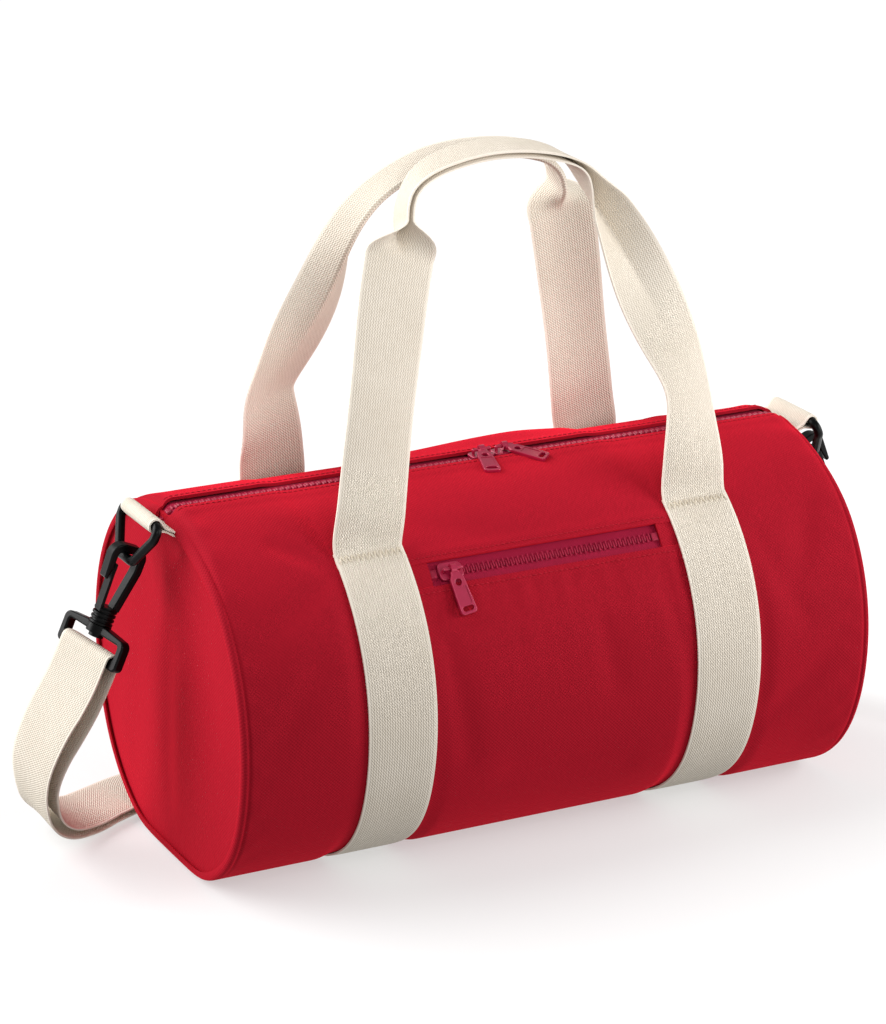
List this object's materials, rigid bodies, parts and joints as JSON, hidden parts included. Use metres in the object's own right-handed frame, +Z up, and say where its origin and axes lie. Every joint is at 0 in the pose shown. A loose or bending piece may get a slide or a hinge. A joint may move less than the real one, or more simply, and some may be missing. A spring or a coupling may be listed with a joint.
{
  "type": "barrel bag",
  "caption": "Canvas barrel bag with a zipped mouth, zipped front pocket, webbing bands and carrying handles, and a clip-on webbing shoulder strap.",
  "frame": {"origin": "middle of the flat base that the bag stands on", "axes": "+X along the barrel towards its right end, -Y to the front with the pocket, +Z up"},
  "size_m": [0.5201, 0.2209, 0.3818],
  "materials": {
    "red_canvas": "plain woven cotton canvas",
    "natural_webbing": "ribbed cotton webbing",
    "plum_tape": "twill tape",
    "plum_teeth": "moulded",
    "plum_metal": "semi-gloss paint",
    "pocket_lining": "thin lining cloth",
    "black_plastic": "moulded, satin"
  },
  "bodies": {
    "bag": {"main_panel": "red_canvas", "left_end_panel": "red_canvas", "right_end_panel": "red_canvas", "left_seam_binding": "plum_tape", "right_seam_binding": "plum_tape", "left_band": "natural_webbing", "right_band": "natural_webbing", "left_zip_end_tapes": "plum_tape", "right_zip_end_tapes": "plum_tape", "left_zip_end_teeth": "plum_teeth", "right_zip_end_teeth": "plum_teeth", "main_zip_stops": "plum_teeth", "pocket_upper_tape": "plum_tape", "pocket_lower_tape": "plum_tape", "pocket_upper_teeth": "plum_teeth", "pocket_lower_teeth": "plum_teeth", "pocket_stops": "plum_teeth", "pocket_pouch": "pocket_lining", "shoulder_strap": "natural_webbing", "strap_adjuster": "black_plastic", "left_tab": "natural_webbing", "right_tab": "natural_webbing"},
    "front_lip": {"front_lip_panel": "red_canvas", "front_zip_tape": "plum_tape", "front_zip_teeth": "plum_teeth"},
    "back_lip": {"back_lip_panel": "red_canvas", "back_zip_tape": "plum_tape", "back_zip_teeth": "plum_teeth"},
    "slider_left": {"main_slider_left": "plum_metal"},
    "slider_right": {"main_slider_right": "plum_metal"},
    "pull_left": {"main_pull_left": "plum_metal"},
    "pull_right": {"main_pull_right": "plum_metal"},
    "pocket_slider": {"pocket_slider": "plum_metal"},
    "pocket_pull": {"pocket_pull": "plum_metal"},
    "front_handle": {"front_handle": "natural_webbing"},
    "back_handle": {"back_handle": "natural_webbing"},
    "left_clip": {"left_ring": "black_plastic", "left_swivel_base": "black_plastic"},
    "left_hook": {"left_hook": "black_plastic"},
    "left_gate": {"left_gate": "black_plastic"},
    "right_clip": {"right_ring": "black_plastic", "right_swivel_base": "black_plastic"},
    "right_hook": {"right_hook": "black_plastic"},
    "right_gate": {"right_gate": "black_plastic"}
  },
  "joints": [
    {"name": "unzip", "type": "slide", "parent": "bag", "child": "slider_right", "axis": [1, 0, 0], "range_m": [0, 0.15], "deforming": ["front_lip_panel", "back_lip_panel", "front_zip_tape", "back_zip_tape", "front_zip_teeth", "back_zip_teeth", "left_zip_end_teeth", "right_zip_end_teeth"]},
    {"name": "left_slider_run", "type": "slide", "parent": "bag", "child": "slider_left", "axis": [-1, 0, 0], "range_m": [0, 0.178]},
    {"name": "front_lip_fold", "type": "hinge", "parent": "bag", "child": "front_lip", "pos_m": [0, -0.05564, 0.18804], "axis": [1, 0, 0], "range_deg": [0, 40.1]},
    {"name": "back_lip_fold", "type": "hinge", "parent": "bag", "child": "back_lip", "pos_m": [0, 0.05564, 0.18804], "axis": [-1, 0, 0], "range_deg": [0, 40.1]},
    {"name": "left_pull_lift", "type": "hinge", "parent": "slider_left", "child": "pull_left", "pos_m": [-0.00015, 0, 0.20694], "axis": [-1, 0, 0], "range_deg": [0, 155]},
    {"name": "right_pull_lift", "type": "hinge", "parent": "slider_right", "child": "pull_right", "pos_m": [0.01415, 0, 0.20694], "axis": [-1, 0, 0], "range_deg": [0, 155]},
    {"name": "pocket_unzip", "type": "slide", "parent": "bag", "child": "pocket_slider", "axis": [1, 0, 0], "range_m": [0, 0.116], "deforming": ["pocket_upper_teeth", "pocket_lower_teeth"]},
    {"name": "pocket_pull_lift", "type": "hinge", "parent": "pocket_slider", "child": "pocket_pull", "pos_m": [-0.058, -0.07959, 0.17192], "axis": [-1, 0, 0], "range_deg": [0, 155]},
    {"name": "front_handle_drop", "type": "hinge", "parent": "bag", "child": "front_handle", "pos_m": [0, -0.06342, 0.18629], "axis": [1, 0, 0], "range_deg": [0, 135]},
    {"name": "back_handle_drop", "type": "hinge", "parent": "bag", "child": "back_handle", "pos_m": [0, 0.06342, 0.18629], "axis": [-1, 0, 0], "range_deg": [0, 135]},
    {"name": "left_clip_swing", "type": "hinge", "parent": "bag", "child": "left_clip", "pos_m": [-0.203, 0, 0.1995], "axis": [0, 1, 0], "range_deg": [-12, 40], "deforming": ["shoulder_strap"]},
    {"name": "left_hook_swivel", "type": "hinge", "parent": "left_clip", "child": "left_hook", "pos_m": [-0.203, 0, 0.1995], "axis": [0.4067, 0, 0.9135], "range_deg": [-20, 20]},
    {"name": "left_gate_press", "type": "hinge", "parent": "left_hook", "child": "left_gate", "pos_m": [-0.2288, 0, 0.15187], "axis": [0, 1, 0], "range_deg": [0, 14], "stiffness_Nm_per_rad": 0.1},
    {"name": "right_clip_swing", "type": "hinge", "parent": "bag", "child": "right_clip", "pos_m": [0.203, 0, 0.1995], "axis": [0, -1, 0], "range_deg": [-12, 40], "deforming": ["shoulder_strap"]},
    {"name": "right_hook_swivel", "type": "hinge", "parent": "right_clip", "child": "right_hook", "pos_m": [0.203, 0, 0.1995], "axis": [-0.4067, 0, 0.9135], "range_deg": [-20, 20]},
    {"name": "right_gate_press", "type": "hinge", "parent": "right_hook", "child": "right_gate", "pos_m": [0.2288, 0, 0.15187], "axis": [0, -1, 0], "range_deg": [0, 14], "stiffness_Nm_per_rad": 0.1}
  ],
  "couplings": [
    {"joint": "left_slider_run", "follows": "unzip", "ratio": 1.18},
    {"joint": "front_lip_fold", "follows": "unzip", "rad_per_m": 4.6542},
    {"joint": "back_lip_fold", "follows": "unzip", "rad_per_m": 4.6542}
  ]
}
